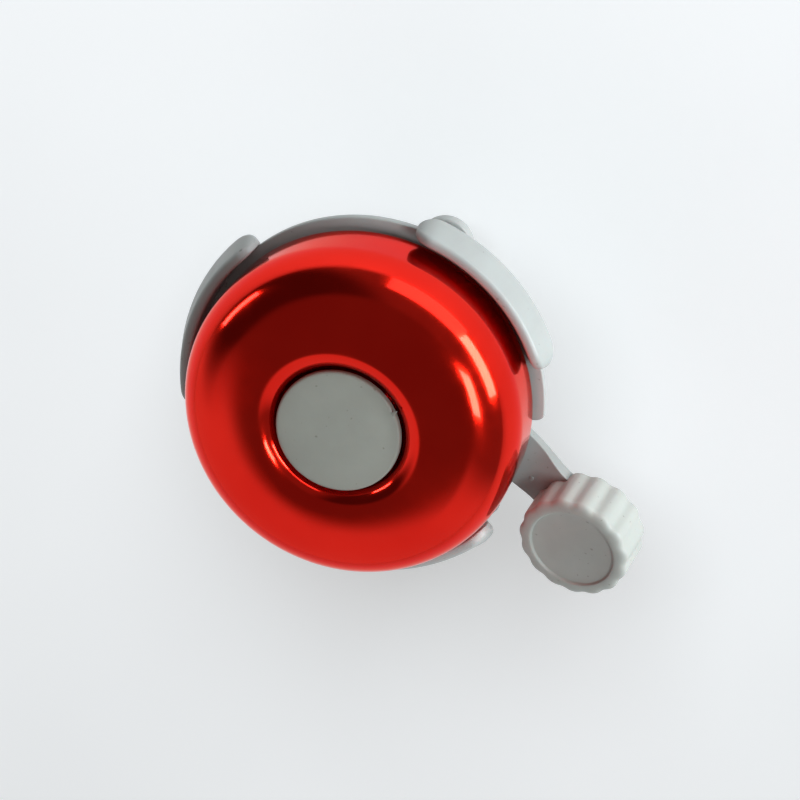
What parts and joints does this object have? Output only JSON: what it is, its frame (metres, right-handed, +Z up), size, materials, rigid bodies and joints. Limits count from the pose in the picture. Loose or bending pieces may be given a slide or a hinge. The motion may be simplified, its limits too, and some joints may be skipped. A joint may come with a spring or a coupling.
{
  "type": "bicycle bell",
  "caption": "Rotary handlebar bell: domed metal gong over a moulded pan with guard claws, a clamp, and a ribbed thumb lever geared to loose spinning strikers inside.",
  "frame": {"origin": "centre of the handlebar clamp bore, halfway along its width", "axes": "+X along the handlebar towards the thumb knob, +Z up along the dome axis, +Y towards clamp screw a"},
  "size_m": [0.0815, 0.0626, 0.0536],
  "materials": {
    "shell_plastic": "moulded light grey plastic, fine satin texture",
    "strap_plastic": "moulded light grey plastic, fine satin texture",
    "lever_plastic": "moulded light grey plastic, fine satin texture",
    "knob_plastic": "moulded light grey plastic, soft satin",
    "cap_plastic": "moulded light grey plastic, soft satin",
    "gear_plastic": "natural acetal",
    "red_dome": "spun aluminium with a clear red lacquer, high gloss",
    "zinc_steel": "zinc plated steel",
    "spring_steel": "bare spring wire"
  },
  "bodies": {
    "bell_body": {"base": "shell_plastic", "clamp_nut_a": "zinc_steel", "clamp_nut_b": "zinc_steel", "lever_pivot_pin": "zinc_steel", "return_spring": "spring_steel", "gear_pin": "zinc_steel", "centre_stud": "zinc_steel", "dome_spacer": "zinc_steel", "dome": "red_dome", "dome_washer": "zinc_steel", "dome_nut": "zinc_steel", "centre_cap": "cap_plastic"},
    "lever": {"thumb_lever": "lever_plastic", "thumb_knob": "knob_plastic"},
    "gear": {"compound_gear": "gear_plastic"},
    "rotor": {"rotor_pinion": "gear_plastic", "striker_bar": "zinc_steel", "striker_rivet_a": "zinc_steel", "striker_rivet_b": "zinc_steel"},
    "striker_a": {"striker_washer_a": "zinc_steel"},
    "striker_b": {"striker_washer_b": "zinc_steel"},
    "strap": {"clamp_strap": "strap_plastic"},
    "screw_a": {"clamp_screw_a": "zinc_steel"},
    "screw_b": {"clamp_screw_b": "zinc_steel"}
  },
  "joints": [
    {"name": "lever_swing", "type": "hinge", "parent": "bell_body", "child": "lever", "pos_m": [0.01954, 0.00187, 0.018], "axis": [0, 0, 1], "range_deg": [0, 24], "stiffness_Nm_per_rad": 0.06, "springref_deg": -20.05, "deforming": ["return_spring"]},
    {"name": "gear_spin", "type": "hinge", "parent": "bell_body", "child": "gear", "pos_m": [0.00901, -0.00909, 0.019], "axis": [0, 0, 1], "range_deg": [-68, 1]},
    {"name": "rotor_spin", "type": "hinge", "parent": "bell_body", "child": "rotor", "pos_m": [0, 0, 0.021], "axis": [0, 0, 1], "range_deg": [-1, 149]},
    {"name": "striker_a_throw", "type": "slide", "parent": "rotor", "child": "striker_a", "axis": [0.4695, 0.8829, 0], "range_m": [-0.00135, 0.00135]},
    {"name": "striker_b_throw", "type": "slide", "parent": "rotor", "child": "striker_b", "axis": [-0.4695, -0.8829, 0], "range_m": [-0.00135, 0.00135]},
    {"name": "strap_release", "type": "slide", "parent": "bell_body", "child": "strap", "axis": [0, 0, -1], "range_m": [0, 0.006]},
    {"name": "screw_a_turn", "type": "hinge", "parent": "strap", "child": "screw_a", "pos_m": [0, 0.018, -0.002], "axis": [0, 0, 1], "continuous": true},
    {"name": "screw_b_turn", "type": "hinge", "parent": "strap", "child": "screw_b", "pos_m": [0, -0.018, -0.002], "axis": [0, 0, 1], "continuous": true}
  ],
  "couplings": [
    {"joint": "gear_spin", "follows": "lever_swing", "ratio": -2.8},
    {"joint": "rotor_spin", "follows": "lever_swing", "ratio": 6.16}
  ]
}
